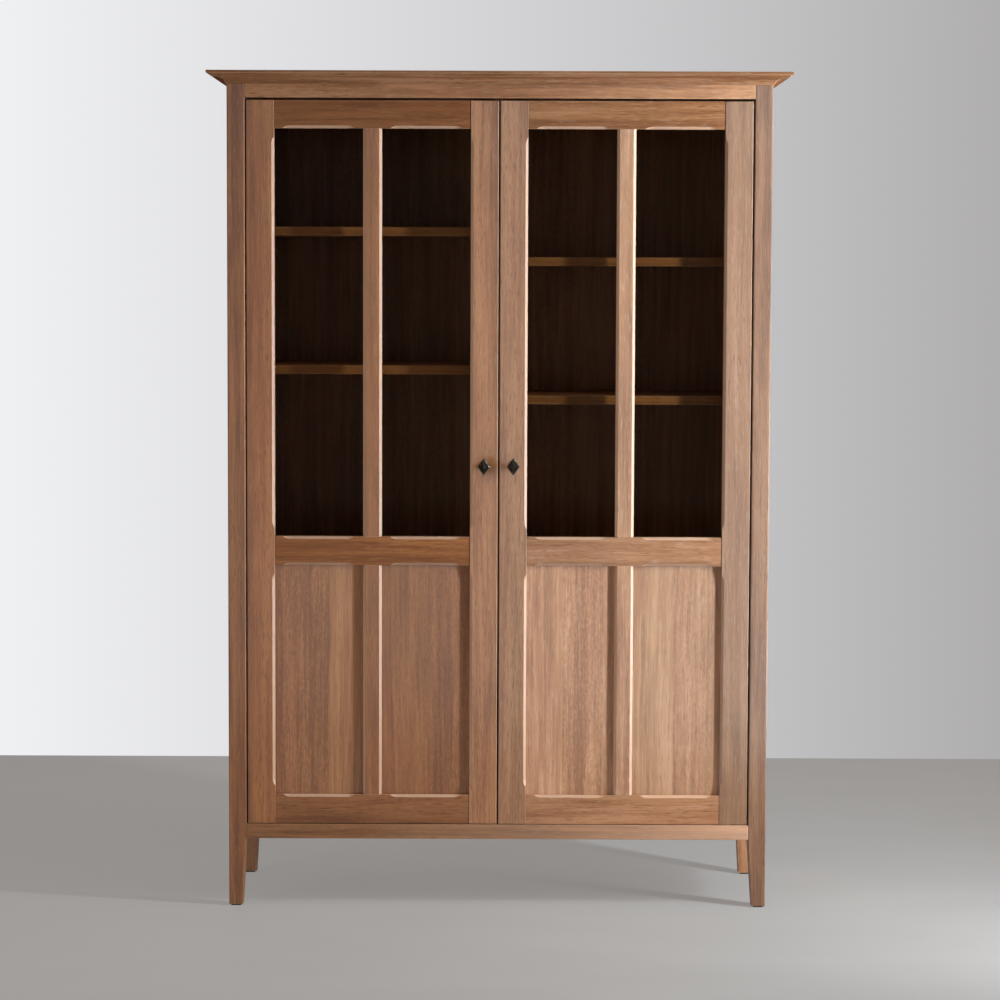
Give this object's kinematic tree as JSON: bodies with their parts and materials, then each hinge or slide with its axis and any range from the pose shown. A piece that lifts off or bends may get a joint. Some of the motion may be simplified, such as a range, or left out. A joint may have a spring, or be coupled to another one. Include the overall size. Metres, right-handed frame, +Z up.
{
  "type": "kitchen dresser",
  "caption": "Tall wooden dresser on tapered feet: inset hinged doors, glazed above and panelled below, open onto adjustable shelves under a moulded cornice.",
  "frame": {"origin": "on the floor, under the middle of the overall box", "axes": "+Z up, the doors face -Y, +X to the right as seen from the front"},
  "size_m": [1.176, 0.4, 1.7],
  "materials": {
    "frame_wood": "satin oiled hardwood",
    "panel_wood": "satin oiled veneer",
    "shelf_wood": "satin oiled veneer",
    "clear_glass": "clear float glass",
    "antique_iron": "blackened, worn on the edges",
    "zinc_steel": "zinc plated",
    "hinge_brass": "plain milled",
    "catch_plastic": "moulded brown",
    "pad_felt": "matt black pad"
  },
  "bodies": {
    "carcass": {"front_left_post": "frame_wood", "front_right_post": "frame_wood", "rear_left_post": "frame_wood", "rear_right_post": "frame_wood", "foot_pads": "pad_felt", "front_top_rail": "frame_wood", "front_bottom_rail": "frame_wood", "rear_rails": "frame_wood", "left_side_rails": "frame_wood", "right_side_rails": "frame_wood", "left_side_panel": "panel_wood", "right_side_panel": "panel_wood", "bottom_panel": "shelf_wood", "center_partition": "shelf_wood", "back_panel": "panel_wood", "top_panel": "frame_wood", "cornice_front": "frame_wood", "cornice_left": "frame_wood", "cornice_right": "frame_wood", "left_fixed_shelf": "shelf_wood", "right_fixed_shelf": "shelf_wood", "lower_shelves": "shelf_wood", "shelf_battens": "shelf_wood", "left_middle_shelf": "shelf_wood", "left_upper_shelf": "shelf_wood", "right_middle_shelf": "shelf_wood", "right_upper_shelf": "shelf_wood", "shelf_pegs": "zinc_steel", "rail_hinge_leaves": "hinge_brass", "magnet_catches": "catch_plastic"},
    "left_door": {"left_door_hinge_stile": "frame_wood", "left_door_meeting_stile": "frame_wood", "left_door_top_rail": "frame_wood", "left_door_lock_rail": "frame_wood", "left_door_bottom_rail": "frame_wood", "left_door_upper_muntin": "frame_wood", "left_door_lower_muntin": "frame_wood", "left_door_glass_panes": "clear_glass", "left_door_glazing_beads": "frame_wood", "left_door_inner_panel": "panel_wood", "left_door_outer_panel": "panel_wood", "left_door_knob": "antique_iron", "left_door_strike_plate": "zinc_steel", "left_door_hinge_leaves": "hinge_brass"},
    "right_door": {"right_door_hinge_stile": "frame_wood", "right_door_meeting_stile": "frame_wood", "right_door_top_rail": "frame_wood", "right_door_lock_rail": "frame_wood", "right_door_bottom_rail": "frame_wood", "right_door_upper_muntin": "frame_wood", "right_door_lower_muntin": "frame_wood", "right_door_glass_panes": "clear_glass", "right_door_glazing_beads": "frame_wood", "right_door_inner_panel": "panel_wood", "right_door_outer_panel": "panel_wood", "right_door_knob": "antique_iron", "right_door_strike_plate": "zinc_steel", "right_door_hinge_leaves": "hinge_brass"}
  },
  "joints": [
    {"name": "left_door_hinge", "type": "hinge", "parent": "carcass", "child": "left_door", "pos_m": [-0.493, -0.151, 0.9085], "axis": [0, 0, -1], "range_deg": [0, 110]},
    {"name": "right_door_hinge", "type": "hinge", "parent": "carcass", "child": "right_door", "pos_m": [0.493, -0.151, 0.9085], "axis": [0, 0, 1], "range_deg": [0, 110]}
  ]
}
